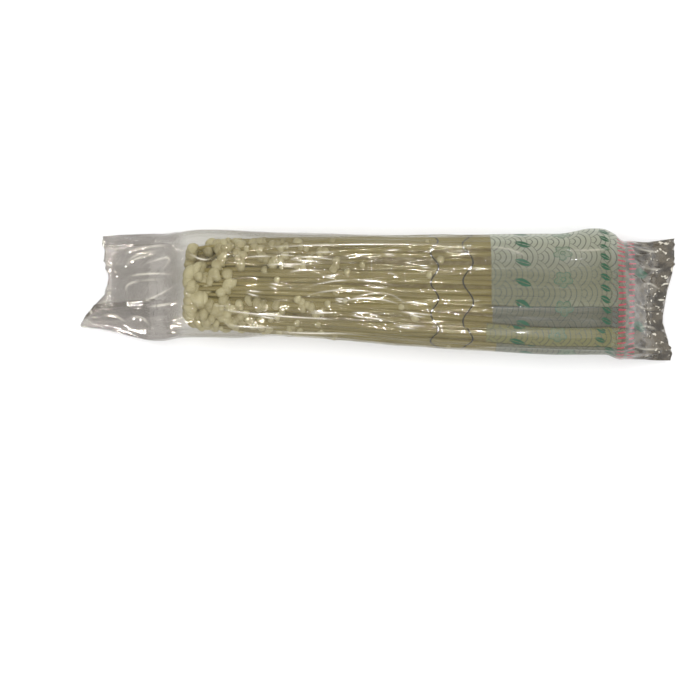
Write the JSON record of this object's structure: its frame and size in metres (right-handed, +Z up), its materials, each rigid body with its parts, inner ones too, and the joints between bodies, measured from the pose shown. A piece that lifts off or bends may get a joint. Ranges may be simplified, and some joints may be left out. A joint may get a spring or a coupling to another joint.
{
  "type": "enoki mushroom bunch in a film bag",
  "caption": "Bunch of enoki mushrooms, small round caps on long thin stems grown from one cut root, lying on its side in a clear film bag welded at the ends.",
  "frame": {"origin": "centre of the bag's footprint, on the surface that it rests on", "axes": "+X along the stems from the caps to the cut root, +Y across the bunch, +Z up"},
  "size_m": [0.2382, 0.0526, 0.0323],
  "materials": {
    "mushroom": "moist, smooth, cream",
    "film": "thin clear glossy film, milky print at the root end"
  },
  "bodies": {
    "root": {"enoki_bunch": "mushroom", "film_bag": "film"}
  },
  "joints": []
}
